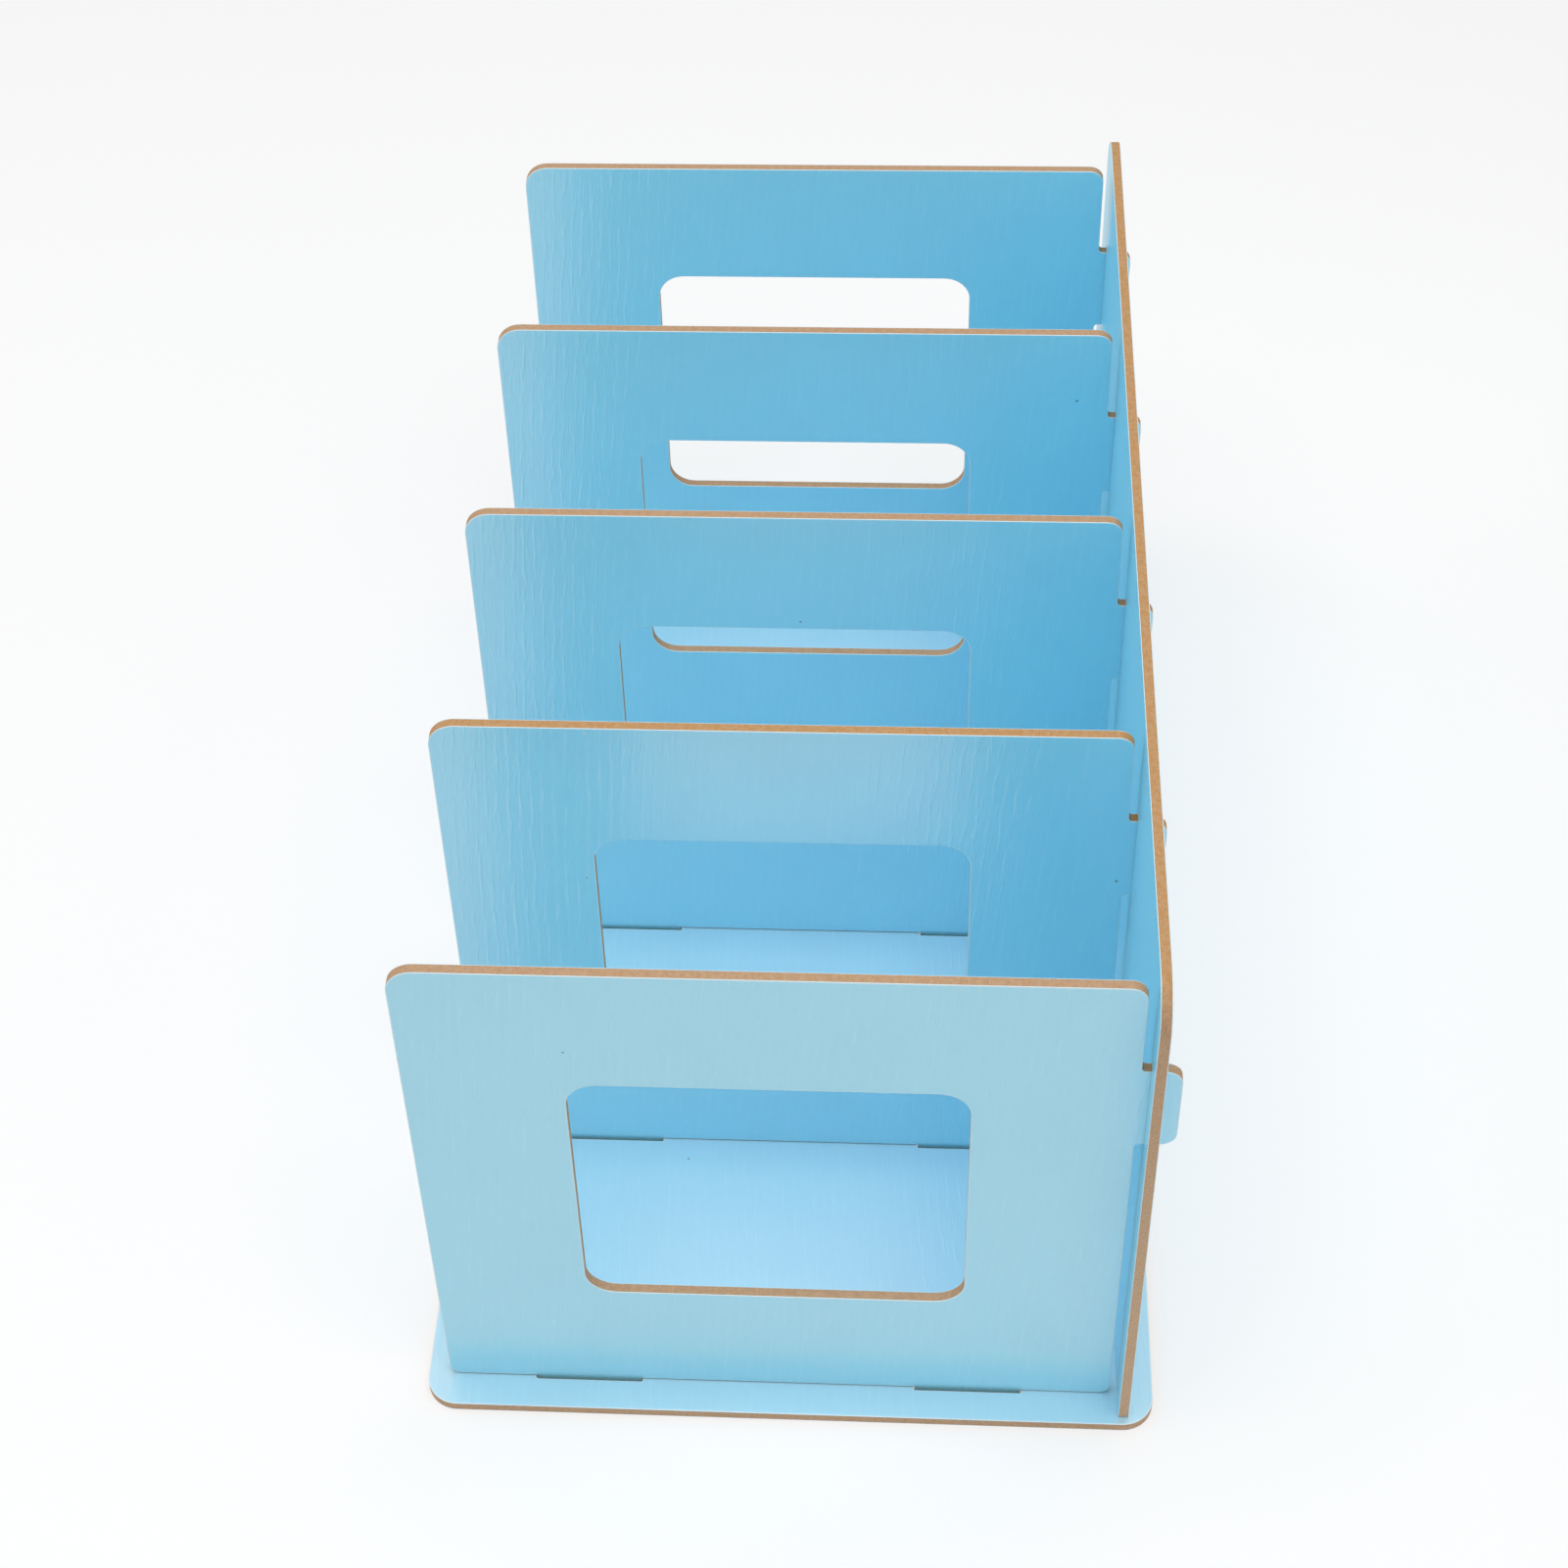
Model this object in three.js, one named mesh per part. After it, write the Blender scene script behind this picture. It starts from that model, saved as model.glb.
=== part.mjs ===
// A desktop bookshelf made of seven flat boards that slot together: a base, a tall back panel
// and five upright dividers with a window each. Millimetres, +Z up, books go in from -Y.
// The origin is the middle of the base's underside.
import * as THREE from "three";

// Boards
const boardThickness = 3;

// Dividers: depth runs from the open front edge to the edge beside the back panel
const dividerCount = 5;
const dividerDepth = 188;
const dividerHeight = 180;
const compartmentWidth = 81.5;
const frontTopRadius = 7.5;
const backTopRadius = 4.5;
const bottomRadius = 2;

// The window in the middle of each divider
const windowWidth = 104;
const windowHeight = 93;
const windowRadius = 8.5;

// The tab on each divider that goes through the back panel
const sideTabLength = 30;
const sideTabMiddleHeight = 132.8;
const sideTabReach = 5.2;
const sideTabRadius = 4.5;
const sideTabRootRadius = 1.2;

// The tabs under the dividers and the back panel, which stop just above the desk
const footTabLength = 30;
const footTabInset = 25;
const footTabRadius = 0.5;
const footTabRecess = 0.2;

// Back panel: its height is counted from the base's top face, its ends from the outer faces of
// the end dividers
const panelHeight = 183;
const panelPastLeftDivider = 18.3;
const panelPastRightDivider = 7.6;
const panelTopRadius = 13;
const panelTabCount = 3;
const panelTabSpacing = 126.75;

// Rims of the base that show round the other boards
const baseRimAtEnds = 2.4;
const baseRimInFront = 6.4;
const baseRimBehind = 7;
const baseCornerRadius = 9;

// Clearances
const gapToPanel = 2.4;
const gapUnderPanel = 0.3;
const slotPlay = 0.3;
const slotPlayRightOfDivider = 0.9;
const slotRadius = 0.6;

// Straight steps in each quarter turn are twice this number
const arcSteps = 4;

// Places worked out from the sizes above
const pitch = compartmentWidth + boardThickness;
const dividersLength = dividerCount * boardThickness + (dividerCount - 1) * compartmentWidth;
const panelLength = panelPastLeftDivider + dividersLength + panelPastRightDivider;
const baseLength = panelLength + 2 * baseRimAtEnds;
const baseDepth = baseRimInFront + dividerDepth + gapToPanel + boardThickness + baseRimBehind;
const panelLeft = -baseLength / 2 + baseRimAtEnds;
const firstDividerMiddle = panelLeft + panelPastLeftDivider + boardThickness / 2;
const dividersMiddle = firstDividerMiddle + ((dividerCount - 1) * pitch) / 2;
const dividerFront = -baseDepth / 2 + baseRimInFront;
const panelInnerFace = dividerFront + dividerDepth + gapToPanel;
const panelOuterFace = panelInnerFace + boardThickness;
const panelBottom = boardThickness + gapUnderPanel;
const footTabDepth = boardThickness - footTabRecess;
const sideTabLow = sideTabMiddleHeight - sideTabLength / 2;
const sideTabHigh = sideTabMiddleHeight + sideTabLength / 2;
const footTabStarts = [footTabInset, dividerDepth - footTabInset - footTabLength];

function dividerMiddle(index) {
  return firstDividerMiddle + index * pitch;
}

function panelTabMiddle(index) {
  return dividersMiddle + (index - (panelTabCount - 1) / 2) * panelTabSpacing;
}

// Draws a closed loop of right-angled corners, each given as [x, y, radius]
function drawLoop(path, corners) {
  corners.forEach(([x, y, radius], i) => {
    const here = new THREE.Vector2(x, y);
    if (radius === 0) {
      if (i === 0) path.moveTo(x, y);
      else path.lineTo(x, y);
      return;
    }
    const before = corners[(i + corners.length - 1) % corners.length];
    const after = corners[(i + 1) % corners.length];
    const arriving = here.clone().sub(new THREE.Vector2(before[0], before[1])).normalize();
    const leaving = new THREE.Vector2(after[0], after[1]).sub(here).normalize();
    const start = here.clone().addScaledVector(arriving, -radius);
    const end = here.clone().addScaledVector(leaving, radius);
    const centre = start.clone().addScaledVector(leaving, radius);
    const startAngle = Math.atan2(start.y - centre.y, start.x - centre.x);
    const endAngle = Math.atan2(end.y - centre.y, end.x - centre.x);
    const turnsRight = arriving.cross(leaving) < 0;
    path.absarc(centre.x, centre.y, radius, startAngle, endAngle, turnsRight);
  });
  return path;
}

// A rectangular hole with rounded corners
function rectangleHole(left, right, low, high, radius) {
  return drawLoop(new THREE.Path(), [
    [left, low, radius],
    [right, low, radius],
    [right, high, radius],
    [left, high, radius],
  ]);
}

// Corners of a tab that hangs from a bottom edge at height edge, met from left to right
function footTabCorners(start, edge, tabBottom) {
  const end = start + footTabLength;
  return [
    [start, edge, 0],
    [start, tabBottom, footTabRadius],
    [end, tabBottom, footTabRadius],
    [end, edge, 0],
  ];
}

// Cuts a board out of its outline; the boards share one light blue laminate
function cutBoard(name, outline) {
  const geometry = new THREE.ExtrudeGeometry(outline, {
    depth: boardThickness,
    bevelEnabled: false,
    curveSegments: arcSteps,
  });
  const laminate = new THREE.MeshStandardMaterial({ color: 0x93cdeb, roughness: 0.45, metalness: 0 });
  const board = new THREE.Mesh(geometry, laminate);
  board.name = name;
  return board;
}

// The base lies flat and holds every other board by the tabs in its slots
function makeBase() {
  const outline = drawLoop(new THREE.Shape(), [
    [-baseLength / 2, -baseDepth / 2, baseCornerRadius],
    [baseLength / 2, -baseDepth / 2, baseCornerRadius],
    [baseLength / 2, baseDepth / 2, baseCornerRadius],
    [-baseLength / 2, baseDepth / 2, baseCornerRadius],
  ]);
  for (let i = 0; i < dividerCount; i++) {
    const left = dividerMiddle(i) - boardThickness / 2 - slotPlay;
    const right = dividerMiddle(i) + boardThickness / 2 + slotPlayRightOfDivider;
    for (const start of footTabStarts) {
      const near = dividerFront + start - slotPlay;
      const far = dividerFront + start + footTabLength + slotPlay;
      outline.holes.push(rectangleHole(left, right, near, far, slotRadius));
    }
  }
  for (let i = 0; i < panelTabCount; i++) {
    const left = panelTabMiddle(i) - footTabLength / 2 - slotPlay;
    const right = panelTabMiddle(i) + footTabLength / 2 + slotPlay;
    const near = panelInnerFace - slotPlay;
    const far = panelOuterFace + slotPlay;
    outline.holes.push(rectangleHole(left, right, near, far, slotRadius));
  }
  return cutBoard("base_board", outline);
}

// The back panel stands along the base's rear edge, with a slot for each divider's side tab
function makeBackPanel() {
  const top = boardThickness + panelHeight;
  const panelRight = panelLeft + panelLength;
  const corners = [[panelLeft, panelBottom, 0]];
  for (let i = 0; i < panelTabCount; i++) {
    const start = panelTabMiddle(i) - footTabLength / 2;
    corners.push(...footTabCorners(start, panelBottom, footTabRecess));
  }
  corners.push([panelRight, panelBottom, 0]);
  corners.push([panelRight, top, panelTopRadius]);
  corners.push([panelLeft, top, panelTopRadius]);
  const outline = drawLoop(new THREE.Shape(), corners);
  for (let i = 0; i < dividerCount; i++) {
    const left = dividerMiddle(i) - boardThickness / 2 - slotPlay;
    const right = dividerMiddle(i) + boardThickness / 2 + slotPlay;
    const low = boardThickness + sideTabLow - slotPlay;
    const high = boardThickness + sideTabHigh + slotPlay;
    outline.holes.push(rectangleHole(left, right, low, high, slotRadius));
  }
  const panel = cutBoard("back_panel", outline);
  panel.rotation.x = Math.PI / 2;
  panel.position.y = panelOuterFace;
  return panel;
}

// A divider stands on the base and is drawn from its front bottom corner
function makeDivider(index) {
  const sideTabEnd = dividerDepth + gapToPanel + boardThickness + sideTabReach;
  const corners = [[0, 0, bottomRadius]];
  for (const start of footTabStarts) corners.push(...footTabCorners(start, 0, -footTabDepth));
  corners.push([dividerDepth, 0, bottomRadius]);
  corners.push([dividerDepth, sideTabLow, sideTabRootRadius]);
  corners.push([sideTabEnd, sideTabLow, sideTabRadius]);
  corners.push([sideTabEnd, sideTabHigh, sideTabRadius]);
  corners.push([dividerDepth, sideTabHigh, sideTabRootRadius]);
  corners.push([dividerDepth, dividerHeight, backTopRadius]);
  corners.push([0, dividerHeight, frontTopRadius]);
  const outline = drawLoop(new THREE.Shape(), corners);
  const windowFront = (dividerDepth - windowWidth) / 2;
  const windowLow = (dividerHeight - windowHeight) / 2;
  const windowBack = windowFront + windowWidth;
  const windowHigh = windowLow + windowHeight;
  outline.holes.push(rectangleHole(windowFront, windowBack, windowLow, windowHigh, windowRadius));
  const divider = cutBoard("divider_" + (index + 1), outline);
  divider.rotation.set(Math.PI / 2, Math.PI / 2, 0);
  divider.position.set(dividerMiddle(index) - boardThickness / 2, dividerFront, boardThickness);
  return divider;
}

const bookshelf = new THREE.Group();
bookshelf.name = "desktop_bookshelf";
bookshelf.add(makeBase());
bookshelf.add(makeBackPanel());
for (let i = 0; i < dividerCount; i++) bookshelf.add(makeDivider(i));

export default bookshelf;
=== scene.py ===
from math import radians
import bmesh
import bpy
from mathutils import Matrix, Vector


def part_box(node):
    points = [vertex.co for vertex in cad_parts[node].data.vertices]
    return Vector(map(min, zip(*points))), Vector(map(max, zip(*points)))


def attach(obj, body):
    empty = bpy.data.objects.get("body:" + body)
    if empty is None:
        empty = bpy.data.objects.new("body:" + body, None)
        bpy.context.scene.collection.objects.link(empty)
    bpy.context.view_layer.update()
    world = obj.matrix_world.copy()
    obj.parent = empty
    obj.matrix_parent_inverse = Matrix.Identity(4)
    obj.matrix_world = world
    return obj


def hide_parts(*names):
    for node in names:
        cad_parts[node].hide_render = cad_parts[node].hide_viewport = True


# A desktop bookshelf of seven light blue boards that slot together: a base, a back panel and
# five dividers. Metres, +Z up. The open front, where books go in, looks along -Y.
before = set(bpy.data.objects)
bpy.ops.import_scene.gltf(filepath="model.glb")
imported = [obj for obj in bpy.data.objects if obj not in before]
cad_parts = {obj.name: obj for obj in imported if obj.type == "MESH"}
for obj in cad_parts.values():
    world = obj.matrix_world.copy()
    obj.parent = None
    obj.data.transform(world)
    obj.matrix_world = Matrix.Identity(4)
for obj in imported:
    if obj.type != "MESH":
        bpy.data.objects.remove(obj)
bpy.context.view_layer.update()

# Base board
# It lies flat on the desk and holds every other board by the tabs in its slots. It is 3 mm
# fibreboard with light blue wood-grain paper pressed on both faces. The outline and the slots
# are routed, so their walls show the bare brown board between two thin blue lines.
mm = 0.001
X, Y, Z = 0, 1, 2
paper_thickness = 0.2 * mm
paper_edge_radius = 0.12 * mm
paper_rim_width = 0.4 * mm

base_corner_radius = 9 * mm
# A pale edge tone: painted sheen on the base's routed brown edges.
base_edge_sheen = -0.6
slot_radius = 0.6 * mm
slot_play = 0.3 * mm
slot_play_right_of_divider = 0.9 * mm
foot_tab_length = 30 * mm
foot_tab_inset = 25 * mm
panel_tab_spacing = 126.75 * mm
gap_to_panel = 2.4 * mm

cut_past_face = 1 * mm
longest_arc_side = 0.75 * mm
fewest_arc_sides = 5
same_place = 0.02 * mm
square_on = 0.999
smooth_up_to = radians(50)

base_low, base_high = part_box("base_board")
panel_low, panel_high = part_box("back_panel")
divider_nodes = sorted(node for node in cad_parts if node.startswith("divider_"))
dividers_middle = (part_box(divider_nodes[0])[0].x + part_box(divider_nodes[-1])[1].x) / 2
divider_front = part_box(divider_nodes[0])[0].y
divider_rear = panel_low.y - gap_to_panel
foot_tab_starts = (divider_front + foot_tab_inset, divider_rear - foot_tab_inset - foot_tab_length)
panel_tab_middles = [dividers_middle + step * panel_tab_spacing for step in (-1, 0, 1)]


class Wire:
    """The output of a node. Arithmetic on it adds Math nodes to the same material."""

    def __init__(self, tree, socket=None):
        self.tree = tree
        self.socket = socket

    def make(self, kind, inputs=None, output=0, **settings):
        """Adds any other node, sets it up, feeds its sockets and gives one of its outputs."""
        node = self.tree.nodes.new(kind)
        for name, value in settings.items():
            setattr(node, name, value)
        for name, value in (inputs or {}).items():
            if isinstance(value, Wire):
                self.tree.links.new(value.socket, node.inputs[name])
            else:
                node.inputs[name].default_value = value
        return Wire(self.tree, node.outputs[output] if node.outputs else None)

    def sockets(self):
        """Every output of the node, by its place or its name."""
        return self.socket.node.outputs

    def maths(self, operation, *values):
        return self.make("ShaderNodeMath", dict(enumerate(values)), operation=operation)

    def __add__(self, other):
        return self.maths("ADD", self, other)

    def __sub__(self, other):
        return self.maths("SUBTRACT", self, other)

    def __mul__(self, other):
        return self.maths("MULTIPLY", self, other)

    __radd__ = __add__

    def __gt__(self, other):
        return self.maths("GREATER_THAN", self, other)

    def __lt__(self, other):
        return self.maths("LESS_THAN", self, other)

    def rise(self, start, end):
        """0 up to start and 1 from end, with a smooth rise between."""
        reach = {"Value": self, "From Min": start, "From Max": end}
        return self.make("ShaderNodeMapRange", reach, interpolation_type="SMOOTHSTEP")

    def blend(self, colour, other):
        """One colour where this value is 0 and the other where it is 1."""
        inputs = {0: self}
        for socket, value in ((6, colour), (7, other)):
            inputs[socket] = value if isinstance(value, Wire) else (*value, 1)
        return self.make("ShaderNodeMix", inputs, output=2, data_type="RGBA")


def blank_material(name):
    """A material with no nodes yet, and a wire to start them from."""
    material = bpy.data.materials.new(name)
    material.use_nodes = True
    material.node_tree.nodes.clear()
    return material, Wire(material.node_tree)


def finish_material(wire, colour, roughness, relief_depth, height, **settings):
    """Ends a material in one shader, with its relief as a bump on the normal."""
    relief = {"Strength": 1, "Distance": relief_depth, "Height": height}
    normal = wire.make("ShaderNodeBump", relief)
    surface = {"Base Color": colour, "Roughness": roughness, "Normal": normal, **settings}
    surface = wire.make("ShaderNodeBsdfPrincipled", surface)
    wire.make("ShaderNodeOutputMaterial", {"Surface": surface})


# The paper's print and emboss, with a painted sheen and a painted highlight among its colours. Rings and
# specks are counted to the metre.
paper_blue = (0.29, 0.765, 0.965)
# The base's paper is the same paper as the panel's and dividers', painted a paler, greyer blue: painted
# sheen for the brighter look of the board that faces up.
paper_blue_with_painted_sheen = (0.42, 0.745, 0.91)
# Paler colour on the grain's ridges: painted sheen.
paper_ridge_sheen = (0.55, 0.87, 1)
# Pale grey-blue for the real pale specks and for the painted highlight along the paper's rim.
paper_pale_speck_and_rim_highlight = (0.74, 0.79, 0.81)
speck_dark = (0.07, 0.11, 0.13)
mottling_shade = 0.97
lacquer_index = 2.5
paper_relief = 0.065 * mm
grain_slant = 0.08
rings_per_metre = 330
layers_per_metre = 400
specks_per_metre = 21
speck_shift = 13.7
smallest_speck = 0.004
speck_spread = 0.006
dark_speck_lots = 0.8
pale_speck_lots = 0.2


def wood_grain_paper(name, blue, along, across):
    """Light blue paper with a satin lacquer, embossed with wood grain that runs along one axis.
    The growth rings stand up a little, so they show most where light rakes over them."""
    material, wire = blank_material(name)
    place = wire.make("ShaderNodeTexCoord", output="Object")
    parts = wire.make("ShaderNodeSeparateXYZ", {"Vector": place}).sockets()
    axes = [Wire(wire.tree, part) for part in parts]
    run, depth = axes[along], axes[3 - along - across]
    cross = axes[across] - run * grain_slant

    def spots(per_metre_along, per_metre_across, detail):
        """Noise with so many spots to the metre along the grain and across it."""
        point = {"X": run * per_metre_along, "Y": cross * per_metre_across, "Z": depth * layers_per_metre}
        point = wire.make("ShaderNodeCombineXYZ", point)
        return wire.make("ShaderNodeTexNoise", {"Vector": point, "Scale": 1, "Detail": detail})

    sway = spots(4, 9, 1)
    ragged = spots(130, 260, 2)
    ring_place = cross * rings_per_metre + sway * 4 + ragged * 0.7
    ring_wave = ring_place.maths("PINGPONG", ring_place, 0.5)
    ring = ring_wave.rise(0.28, 0.49) * spots(75, 200, 1).rise(0.36, 0.62)
    streaks = spots(130, 1200, 1).rise(0.48, 0.66) * (ring_wave.rise(0.1, 0.45) * 0.6 + 0.4)
    orange_peel = spots(600, 600, 1)
    mottling = spots(22, 30, 3)

    # Each cell of a grid draws its own lots: the first for the speck's kind, the last its size.
    speck_grid = {"X": run + depth * speck_shift, "Y": cross, "Z": 0}
    speck_grid = wire.make("ShaderNodeCombineXYZ", speck_grid)
    speck = {"Vector": speck_grid, "Scale": specks_per_metre}
    speck = wire.make("ShaderNodeTexVoronoi", speck, voronoi_dimensions="2D")
    lot = wire.make("ShaderNodeSeparateColor", {"Color": Wire(wire.tree, speck.sockets()["Color"])})
    lots = [Wire(wire.tree, part) for part in lot.sockets()]
    in_speck = speck < lots[2] * speck_spread + smallest_speck
    dark_speck = in_speck * (lots[0] > dark_speck_lots)
    pale_speck = in_speck * (lots[0] < pale_speck_lots)

    # A narrow rim along each paper's edge, broken up by noise, is painted pale: a painted highlight along
    # the edge.
    rim = wire.make("ShaderNodeAttribute", output="Fac", attribute_name="rim")
    rim_highlight = (rim + spots(420, 420, 2) * 0.7 - 0.35).rise(0.35, 0.95)

    deep_blue = [part * mottling_shade for part in blue]
    colour = mottling.rise(0.3, 0.7).blend(blue, deep_blue)
    # The grain's rings and streaks are real, but the pale colour on them is painted sheen: light caught
    # on the ridges.
    colour = (ring * 0.1 + streaks * 0.1).blend(colour, paper_ridge_sheen)
    colour = (rim_highlight * 0.62 + pale_speck * 0.8).blend(colour, paper_pale_speck_and_rim_highlight)
    colour = (dark_speck * 0.8).blend(colour, speck_dark)
    roughness = 0.26 + mottling * 0.08 + ring * 0.04 + rim_highlight * 0.12
    height = ring * 0.36 + streaks * 0.45 + orange_peel * 0.05 + mottling * 0.25
    finish_material(wire, colour, roughness, paper_relief, height, IOR=lacquer_index)
    return material


board_brown = (0.48, 0.295, 0.167)
board_toasted = (0.5, 0.265, 0.095)
board_brown_dark = (0.33, 0.185, 0.1)
board_pale_fibre_and_sheen = (0.64, 0.44, 0.28)
board_relief = 0.08 * mm
clumps_per_metre = 650
fibres_per_metre = 2000
pressed_from = 0.6


def bare_fibreboard():
    """Pressed wood fibre as the cutter leaves it: matt, brown and finely speckled, and a
    little darker where it is pressed hardest, under the two faces. A hot cutter toasts some
    edges, which is the tone from 0 to 1. The tone from 0 to -1 pales the brown: a painted sheen, where
    edges mirror the white floor."""
    material, wire = blank_material("bare_fibreboard")
    place = wire.make("ShaderNodeTexCoord", output="Object")

    def spots(per_metre, detail):
        """Noise with so many spots to the metre."""
        inputs = {"Vector": place, "Scale": per_metre, "Detail": detail}
        return wire.make("ShaderNodeTexNoise", inputs)

    clumps = spots(clumps_per_metre, 2)
    fibres = spots(fibres_per_metre, 3)
    depth = wire.make("ShaderNodeAttribute", output="Fac", attribute_name="depth")
    pressed = depth.maths("ABSOLUTE", depth).rise(pressed_from, 1)
    toasting = wire.make("ShaderNodeAttribute", output="Fac", attribute_name="toasting")
    # Below 0 the tone pales the brown, which is painted sheen. Above 0 it is real toasting.
    colour = (toasting * -1).rise(0, 1).blend(board_brown, board_pale_fibre_and_sheen)
    colour = toasting.rise(0, 1).blend(colour, board_toasted)
    colour = (clumps.rise(0.35, 0.65) * 0.3).blend(colour, board_pale_fibre_and_sheen)
    colour = (fibres.rise(0.45, 0.7) * 0.5).blend(colour, board_brown_dark)
    colour = (pressed * 0.22).blend(colour, board_brown_dark)
    finish_material(wire, colour, 0.82 + fibres * 0.15, board_relief, fibres + clumps * 0.6)
    return material


def pick(*boards):
    """Selects these objects alone and makes the first one active."""
    bpy.ops.object.select_all(action="DESELECT")
    for board in boards:
        board.select_set(True)
    bpy.context.view_layer.objects.active = boards[0]


def bake_place():
    """Moves the picked object's place, turn and size into its mesh."""
    bpy.ops.object.transform_apply(location=True, rotation=True, scale=True)


def saw_blank(name, low, high):
    """A flat block between two corners."""
    bpy.ops.object.select_all(action="DESELECT")
    bpy.ops.mesh.primitive_cube_add(size=1, location=(low + high) / 2, scale=high - low)
    blank = bpy.context.active_object
    blank.name = name
    bake_place()
    return blank


def choose(board, kind, wanted):
    """In edit mode, selects only the edges or faces that pass a test."""
    bpy.ops.mesh.select_all(action="DESELECT")
    bpy.ops.mesh.select_mode(type="EDGE" if kind == "edges" else "FACE")
    mesh = bmesh.from_edit_mesh(board.data)
    for item in getattr(mesh, kind):
        if wanted(item):
            item.select_set(True)
    bmesh.update_edit_mesh(board.data)


def round_corners(board, axis, corners, radius):
    """Rounds the edges that run along an axis through corners given by their other two places."""
    sides = max(fewest_arc_sides, round(radius / longest_arc_side))
    flat = [other for other in (X, Y, Z) if other != axis]

    def at_corner(edge):
        start, end = (vertex.co for vertex in edge.verts)
        if abs(end[axis] - start[axis]) < same_place:
            return False
        return any(
            all(abs(point[other] - place) < same_place for point in (start, end)
                for other, place in zip(flat, corner))
            for corner in corners
        )

    pick(board)
    bpy.ops.object.mode_set(mode="EDIT")
    choose(board, "edges", at_corner)
    bpy.ops.mesh.bevel(offset=radius, segments=sides, affect="EDGES")
    bpy.ops.object.mode_set(mode="OBJECT")


def join_cutters(cutters):
    """Makes one object of all the blocks that a board is routed with."""
    pick(*cutters)
    bpy.ops.object.join()
    return cutters[0]


def rout(board, cutter):
    """Cuts the cutter's blocks out of a board."""
    pick(board)
    modifier = board.modifiers.new("openings", "BOOLEAN")
    modifier.operation = "DIFFERENCE"
    modifier.solver = "EXACT"
    modifier.object = cutter
    bpy.ops.object.modifier_apply(modifier=modifier.name)


def mark(board, name, measure):
    """Stores a number at each vertex for the material to read."""
    attribute = board.data.attributes.new(name, "FLOAT", "POINT")
    for vertex, item in zip(board.data.vertices, attribute.data):
        item.value = measure(vertex)


def finish_layers(layers, paper, node):
    """Smooths the rounded edges of a board's core and two papers, gives each its material and
    seats it on the frame."""
    for layer, material in zip(layers, (fibreboard, paper, paper)):
        pick(layer)
        bpy.ops.object.shade_smooth_by_angle(angle=smooth_up_to)
        layer.data.materials.clear()
        layer.data.materials.append(material)
        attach(layer, "root")
        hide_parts(node)


def finish_paper(layer, axis, side):
    """Rounds the paper's outer edge a touch and marks a narrow rim, which the paper paints pale: a
    painted highlight along the edge.
    """
    def faces_out(face):
        return face.normal[axis] * side > square_on

    pick(layer)
    bpy.ops.object.mode_set(mode="EDIT")
    choose(layer, "edges", lambda edge: sum(map(faces_out, edge.link_faces)) == 1)
    bpy.ops.mesh.bevel(offset=paper_edge_radius, segments=3, affect="EDGES")
    choose(layer, "faces", faces_out)
    bpy.ops.mesh.inset(thickness=paper_rim_width, use_even_offset=True)
    bpy.ops.object.mode_set(mode="OBJECT")
    mark(layer, "rim", lambda vertex: 0.0 if vertex.select else 1.0)


def laminate(node, axis, cut_layer, sides):
    """Builds a board as a fibreboard core between two papers, each cut to the same outline."""
    low, high = (corner[axis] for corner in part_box(node))
    middle, half = (low + high) / 2, (high - low) / 2
    core = cut_layer(node + "_core", low + paper_thickness, high - paper_thickness)
    mark(core, "depth", lambda vertex: (vertex.co[axis] - middle) / half)
    papers = [
        cut_layer(node + "_paper_" + sides[0], low, low + paper_thickness),
        cut_layer(node + "_paper_" + sides[1], high - paper_thickness, high),
    ]
    finish_paper(papers[0], axis, -1)
    finish_paper(papers[1], axis, 1)
    return [core, *papers]


def slot_cutter(low, high, axis):
    """A block as long as a slot, with the rounded corners that a router bit leaves."""
    cutter = saw_blank("slot_cutter", low, high)
    first, second = (other for other in (X, Y, Z) if other != axis)
    corners = [(a, b) for a in (low[first], high[first]) for b in (low[second], high[second])]
    round_corners(cutter, axis, corners, slot_radius)
    return cutter


slot_bottom, slot_top = base_low.z - cut_past_face, base_high.z + cut_past_face
base_slots = []
for node in divider_nodes:
    divider_low, divider_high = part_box(node)
    left, right = divider_low.x - slot_play, divider_high.x + slot_play_right_of_divider
    for start in foot_tab_starts:
        end = start + foot_tab_length
        low = Vector((left, start - slot_play, slot_bottom))
        base_slots.append((low, Vector((right, end + slot_play, slot_top))))
for middle in panel_tab_middles:
    half = foot_tab_length / 2 + slot_play
    low = Vector((middle - half, panel_low.y - slot_play, slot_bottom))
    base_slots.append((low, Vector((middle + half, panel_high.y + slot_play, slot_top))))
base_cutter = join_cutters([slot_cutter(low, high, Z) for low, high in base_slots])


def cut_base_layer(name, bottom, top):
    """One layer of the base with its rounded corners and its slots."""
    low = Vector((base_low.x, base_low.y, bottom))
    high = Vector((base_high.x, base_high.y, top))
    layer = saw_blank(name, low, high)
    corners = [(x, y) for x in (low.x, high.x) for y in (low.y, high.y)]
    round_corners(layer, Z, corners, base_corner_radius)
    rout(layer, base_cutter)
    return layer


fibreboard = bare_fibreboard()
# Paler blue on the base: painted sheen, though it is the same paper as the other boards.
paper_of_base = wood_grain_paper("paper_of_base", paper_blue_with_painted_sheen, along=X, across=Y)
base_layers = laminate("base_board", Z, cut_base_layer, ("underside", "top"))
mark(base_layers[0], "toasting", lambda vertex: base_edge_sheen)
finish_layers(base_layers, paper_of_base, "base_board")
bpy.data.objects.remove(base_cutter)

# Back panel
# It stands on edge along the rear of the base and closes the back of the rack. It is the same
# papered fibreboard. Three tabs under it drop into the base, and each divider's side tab is
# pushed through a slot in it, which locks the boards together without glue or screws.
panel_top_radius = 13 * mm
gap_under_panel = 0.3 * mm
panel_tab_radius = 0.2 * mm
side_tab_length = 30 * mm
side_tab_middle = base_high.z + 132.8 * mm
panel_top_toasting = 0.85
# A pale tone at the panel's foot: painted sheen on its brown edges.
panel_foot_sheen = -1.2
toasting_fade = 10 * mm


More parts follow.
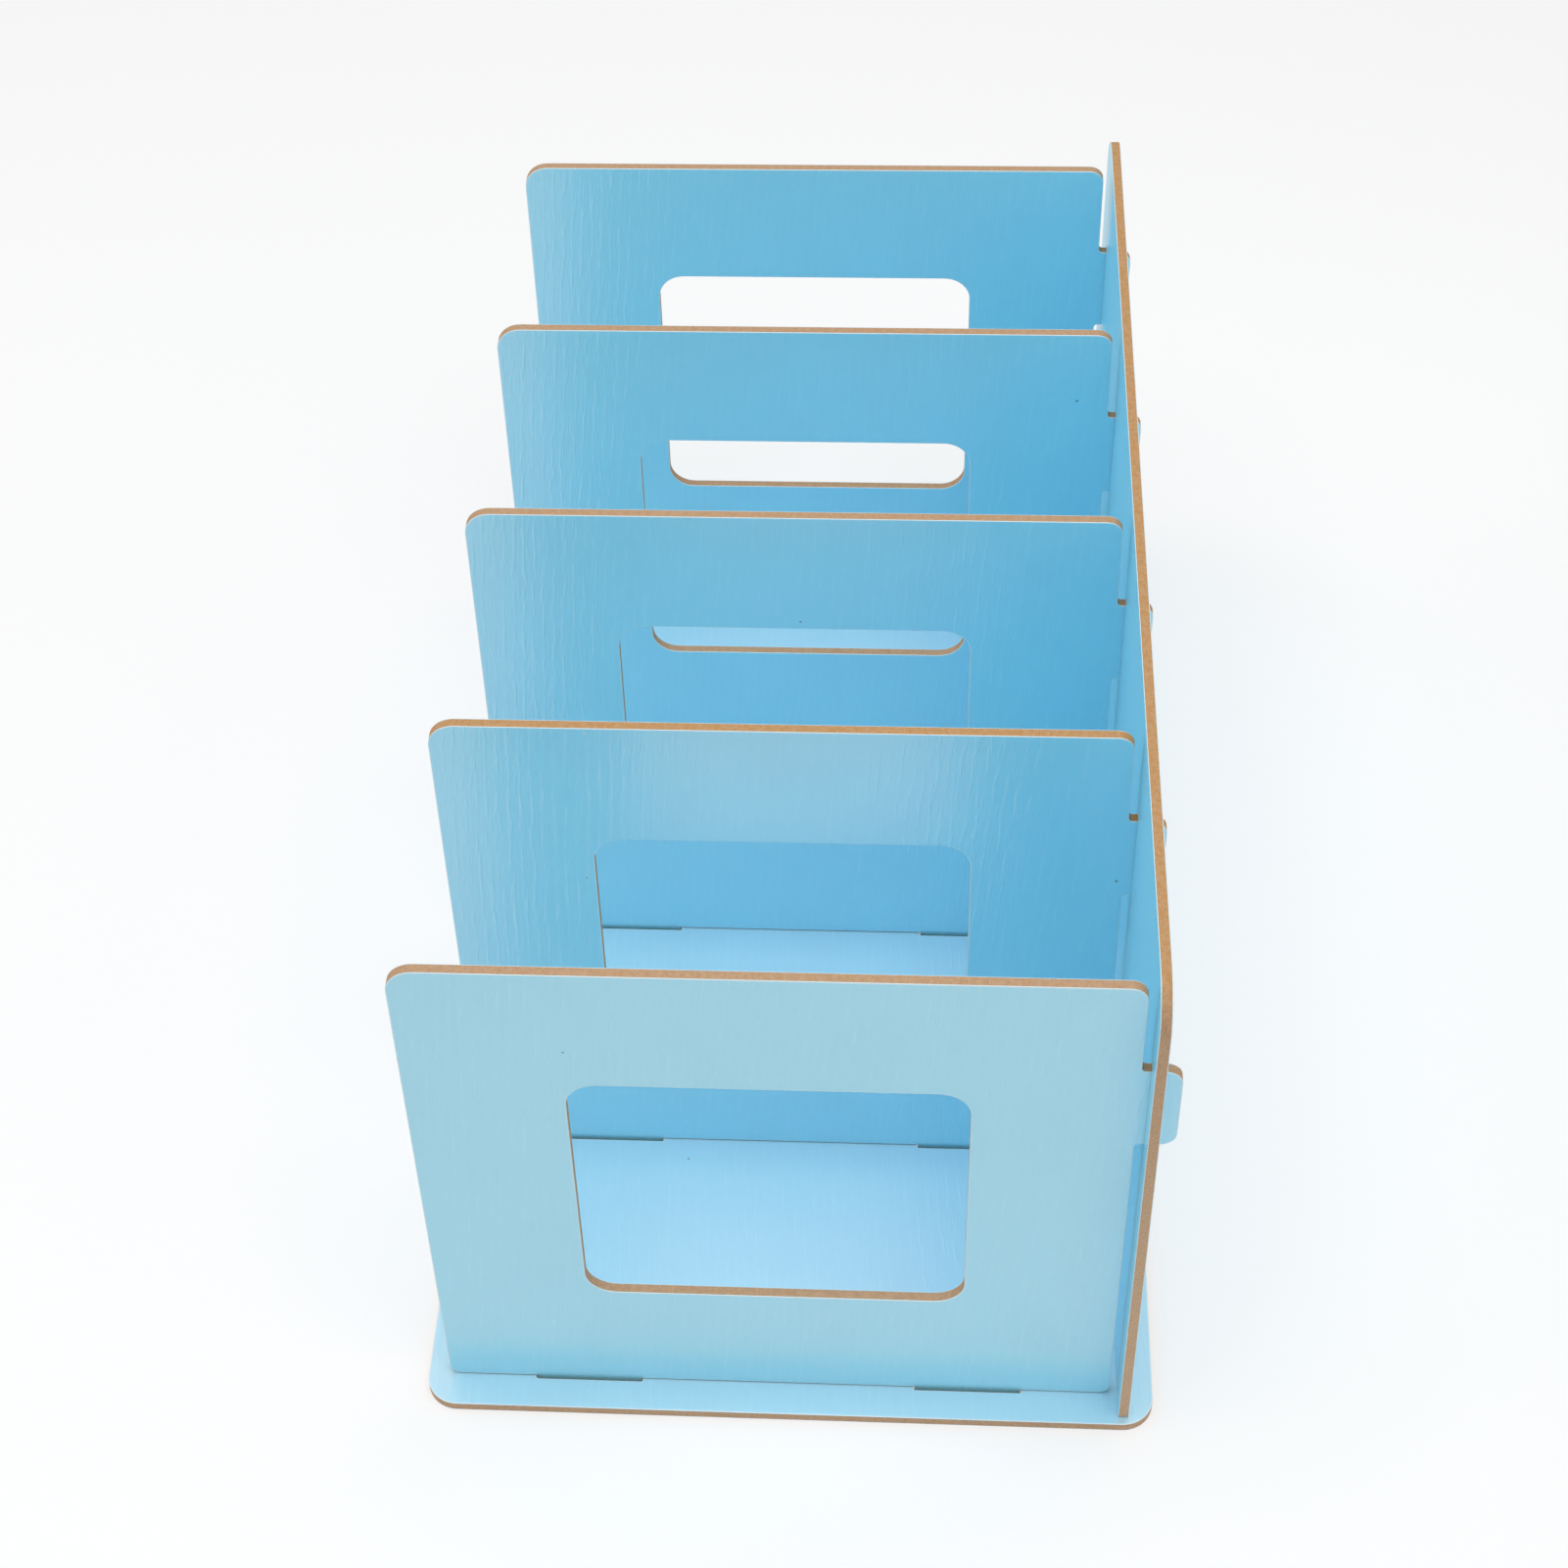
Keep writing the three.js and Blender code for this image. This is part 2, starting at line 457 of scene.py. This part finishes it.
def pull_tab(board, edge_axis, edge_side, along, start, end, reach):
    """Pulls a tab out of a board's straight edge, between two places along that edge."""
    pick(board)
    bpy.ops.object.mode_set(mode="EDIT")
    for place in (start, end):
        point, normal = Vector(), Vector()
        point[along], normal[along] = place, 1
        bpy.ops.mesh.select_all(action="SELECT")
        bpy.ops.mesh.bisect(plane_co=point, plane_no=normal)

    def on_tab(face):
        return (face.normal[edge_axis] * edge_side > square_on
                and start < face.calc_center_median()[along] < end)

    pull = Vector()
    pull[edge_axis] = edge_side * reach
    choose(board, "faces", on_tab)
    bpy.ops.mesh.extrude_region_move(TRANSFORM_OT_translate={"value": pull})
    bpy.ops.mesh.select_all(action="SELECT")
    bpy.ops.mesh.dissolve_limited(angle_limit=radians(1))
    bpy.ops.object.mode_set(mode="OBJECT")


def panel_toast_and_sheen(vertex):
    """Toasted along the top edge, and from a little below it down to the foot a painted sheen that pales
    the brown.
    """
    down = (panel_high.z - vertex.co.z) / toasting_fade
    return max(panel_foot_sheen, panel_top_toasting - down)


panel_slots = []
for node in divider_nodes:
    divider_low, divider_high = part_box(node)
    half = side_tab_length / 2 + slot_play
    low = Vector((divider_low.x - slot_play, panel_low.y - cut_past_face, side_tab_middle - half))
    high = Vector((divider_high.x + slot_play, panel_high.y + cut_past_face, side_tab_middle + half))
    panel_slots.append((low, high))
panel_cutter = join_cutters([slot_cutter(low, high, Y) for low, high in panel_slots])


def cut_panel_layer(name, inner, outer):
    """One layer of the back panel with its foot tabs, rounded top corners and slots."""
    bottom = base_high.z + gap_under_panel
    low = Vector((panel_low.x, inner, bottom))
    high = Vector((panel_high.x, outer, panel_high.z))
    layer = saw_blank(name, low, high)
    tab_ends = []
    for middle in panel_tab_middles:
        start, end = middle - foot_tab_length / 2, middle + foot_tab_length / 2
        pull_tab(layer, Z, -1, X, start, end, bottom - panel_low.z)
        tab_ends += [(start, panel_low.z), (end, panel_low.z)]
    round_corners(layer, Y, tab_ends, panel_tab_radius)
    round_corners(layer, Y, [(low.x, high.z), (high.x, high.z)], panel_top_radius)
    rout(layer, panel_cutter)
    return layer


paper_of_panel = wood_grain_paper("paper_of_panel", paper_blue, along=X, across=Z)
panel_layers = laminate("back_panel", Y, cut_panel_layer, ("inner", "outer"))
mark(panel_layers[0], "toasting", panel_toast_and_sheen)
finish_layers(panel_layers, paper_of_panel, "back_panel")
bpy.data.objects.remove(panel_cutter)

# Dividers
# Five equal uprights of the same papered fibreboard part the books, grain upright. Each has a
# large window, two tabs that drop into the base, which leave a hair's gap under the board, and
# one rounded side tab that goes through the back panel.
gap_under_divider = 0.35 * mm
divider_front_radius = 7.5 * mm
divider_rear_radius = 4.5 * mm
divider_bottom_radius = 3 * mm
side_tab_radius = 4.5 * mm
side_tab_root_radius = 1.2 * mm
foot_tab_radius = 0.5 * mm
window_width = 104 * mm
window_height = 93 * mm
window_radius = 8.5 * mm
window_cutter_reach = 10 * mm
divider_toasting = dict(zip(divider_nodes, (-0.1, 0, 0.2, 1, 0)))

divider_low, divider_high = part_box(divider_nodes[0])
divider_bottom = base_high.z + gap_under_divider
side_tab_low = side_tab_middle - side_tab_length / 2
side_tab_high = side_tab_middle + side_tab_length / 2
window_middle = Vector((divider_low.x, (divider_front + divider_rear) / 2,
                        (base_high.z + divider_high.z) / 2))
window_reach = Vector((window_cutter_reach, window_width / 2, window_height / 2))
window_low, window_high = window_middle - window_reach, window_middle + window_reach
window_cutter = saw_blank("window_cutter", window_low, window_high)
window_corners = [(y, z) for y in (window_low.y, window_high.y) for z in (window_low.z, window_high.z)]
round_corners(window_cutter, X, window_corners, window_radius)


def cut_divider_layer(name, left, right):
    """One layer of the first divider with its tabs, rounded corners and window."""
    low = Vector((left, divider_front, divider_bottom))
    high = Vector((right, divider_rear, divider_high.z))
    layer = saw_blank(name, low, high)
    pull_tab(layer, Y, 1, Z, side_tab_low, side_tab_high, divider_high.y - divider_rear)
    foot_ends = []
    for start in foot_tab_starts:
        end = start + foot_tab_length
        pull_tab(layer, Z, -1, Y, start, end, divider_bottom - divider_low.z)
        foot_ends += [(start, divider_low.z), (end, divider_low.z)]
    round_corners(layer, X, foot_ends, foot_tab_radius)
    tab_tips = [(divider_high.y, side_tab_low), (divider_high.y, side_tab_high)]
    round_corners(layer, X, tab_tips, side_tab_radius)
    tab_roots = [(divider_rear, side_tab_low), (divider_rear, side_tab_high)]
    round_corners(layer, X, tab_roots, side_tab_root_radius)
    bottom_corners = [(divider_front, divider_bottom), (divider_rear, divider_bottom)]
    round_corners(layer, X, bottom_corners, divider_bottom_radius)
    round_corners(layer, X, [(divider_front, divider_high.z)], divider_front_radius)
    round_corners(layer, X, [(divider_rear, divider_high.z)], divider_rear_radius)
    rout(layer, window_cutter)
    return layer


def copy_layer(layer, name, shift):
    """A copy of a layer with its own mesh, set a distance along the row."""
    pick(layer)
    bpy.ops.object.duplicate(linked=False)
    twin = bpy.context.active_object
    twin.name = name
    bpy.ops.transform.translate(value=(shift, 0, 0))
    bake_place()
    return twin


paper_of_dividers = wood_grain_paper("paper_of_dividers", paper_blue, along=Z, across=Y)
first_divider = laminate(divider_nodes[0], X, cut_divider_layer, ("left", "right"))
bpy.data.objects.remove(window_cutter)
divider_sets = {divider_nodes[0]: first_divider}
for node in divider_nodes[1:]:
    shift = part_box(node)[0].x - divider_low.x
    names = [layer.name.replace(divider_nodes[0], node) for layer in first_divider]
    divider_sets[node] = [copy_layer(layer, name, shift) for layer, name in zip(first_divider, names)]
for node, layers in divider_sets.items():
    mark(layers[0], "toasting", lambda vertex: divider_toasting[node])
    finish_layers(layers, paper_of_dividers, node)

# Floor and light
# A plain white sweep under and around the rack. A wide soft box overhead, a little towards the
# camera, does most of the work and the white room fills the rest. A weaker one beyond the open
# front rakes over the grain of the dividers, and another stands behind the panel's near end.
floor_half_size = 6
floor_drop = 0.05 * mm
floor_grey = 0.86
floor_glow_share = 0.5
room_strength = 0.4
soft_box_size = 1.3
rack_middle = (0, 0, 0.1)
white = (1, 1, 1, 1)

bpy.ops.object.select_all(action="DESELECT")
bpy.ops.mesh.primitive_plane_add(size=2 * floor_half_size, location=(0, 0, -floor_drop))
floor = bpy.context.active_object
floor.name = "floor"
bake_place()


def white_to_the_eye(wire):
    """1 for what the camera sees straight, mirrored or through glass, and 0 for other rays."""
    path = wire.make("ShaderNodeLightPath").sockets()
    rays = ("Is Camera Ray", "Is Glossy Ray", "Is Transmission Ray")
    straight, mirrored, through_glass = [Wire(wire.tree, path[name]) for name in rays]
    indirect = mirrored.maths("MAXIMUM", mirrored, through_glass)
    return straight.maths("MAXIMUM", straight, indirect)


floor_paint, wire = blank_material("floor_paint")
matt = wire.make("ShaderNodeBsdfDiffuse", {"Color": (floor_grey, floor_grey, floor_grey, 1)})
bright = wire.make("ShaderNodeBsdfDiffuse", {"Color": white})
glow = wire.make("ShaderNodeEmission", {"Color": white, "Strength": 1})
lit = wire.make("ShaderNodeMixShader", {0: floor_glow_share, 1: bright, 2: glow})
seen = wire.make("ShaderNodeMixShader", {0: white_to_the_eye(wire), 1: matt, 2: lit})
wire.make("ShaderNodeOutputMaterial", {"Surface": seen})
floor.data.materials.append(floor_paint)

room = bpy.data.worlds.new("room")
room.use_nodes = True
room.node_tree.nodes.clear()
wire = Wire(room.node_tree)
strength = room_strength + white_to_the_eye(wire) * (1 - room_strength)
room_light = wire.make("ShaderNodeBackground", {"Color": white, "Strength": strength})
wire.make("ShaderNodeOutputWorld", {"Surface": room_light})
bpy.context.scene.world = room


def hang_soft_box(name, place, power):
    """A square lamp at a place, turned towards the rack."""
    turn = (Vector(rack_middle) - Vector(place)).to_track_quat("-Z", "Y").to_euler()
    bpy.ops.object.light_add(type="AREA", location=place, rotation=turn)
    lamp = bpy.context.active_object
    lamp.name = name
    lamp.data.size = soft_box_size
    lamp.data.energy = power


hang_soft_box("soft_box_overhead", place=(0.2, 0, 1.55), power=13)
hang_soft_box("soft_box_front", place=(-0.05, -1.5, 0.9), power=5)
hang_soft_box("soft_box_behind", place=(0.55, 1.1, 1.1), power=3.5)

# Camera
# It looks down the row of dividers from beyond the right end, from the side that shows the
# face of the last divider and the panel's inner face on the right. Its place, its turn and
# its frame's shift are the ones that bring the boards' edges to where the photo has them.
camera_place = (0.6455, 0.0327, 0.7561)
camera_turn = (radians(45.611), radians(1.803), radians(93.178))
bpy.ops.object.camera_add(location=camera_place, rotation=camera_turn)
camera = bpy.context.active_object
camera.data.sensor_width = 36
camera.data.lens = 69.334
camera.data.shift_x = 0.0354
camera.data.shift_y = -0.0837
bpy.context.scene.camera = camera
bpy.context.scene.view_settings.view_transform = "Standard"
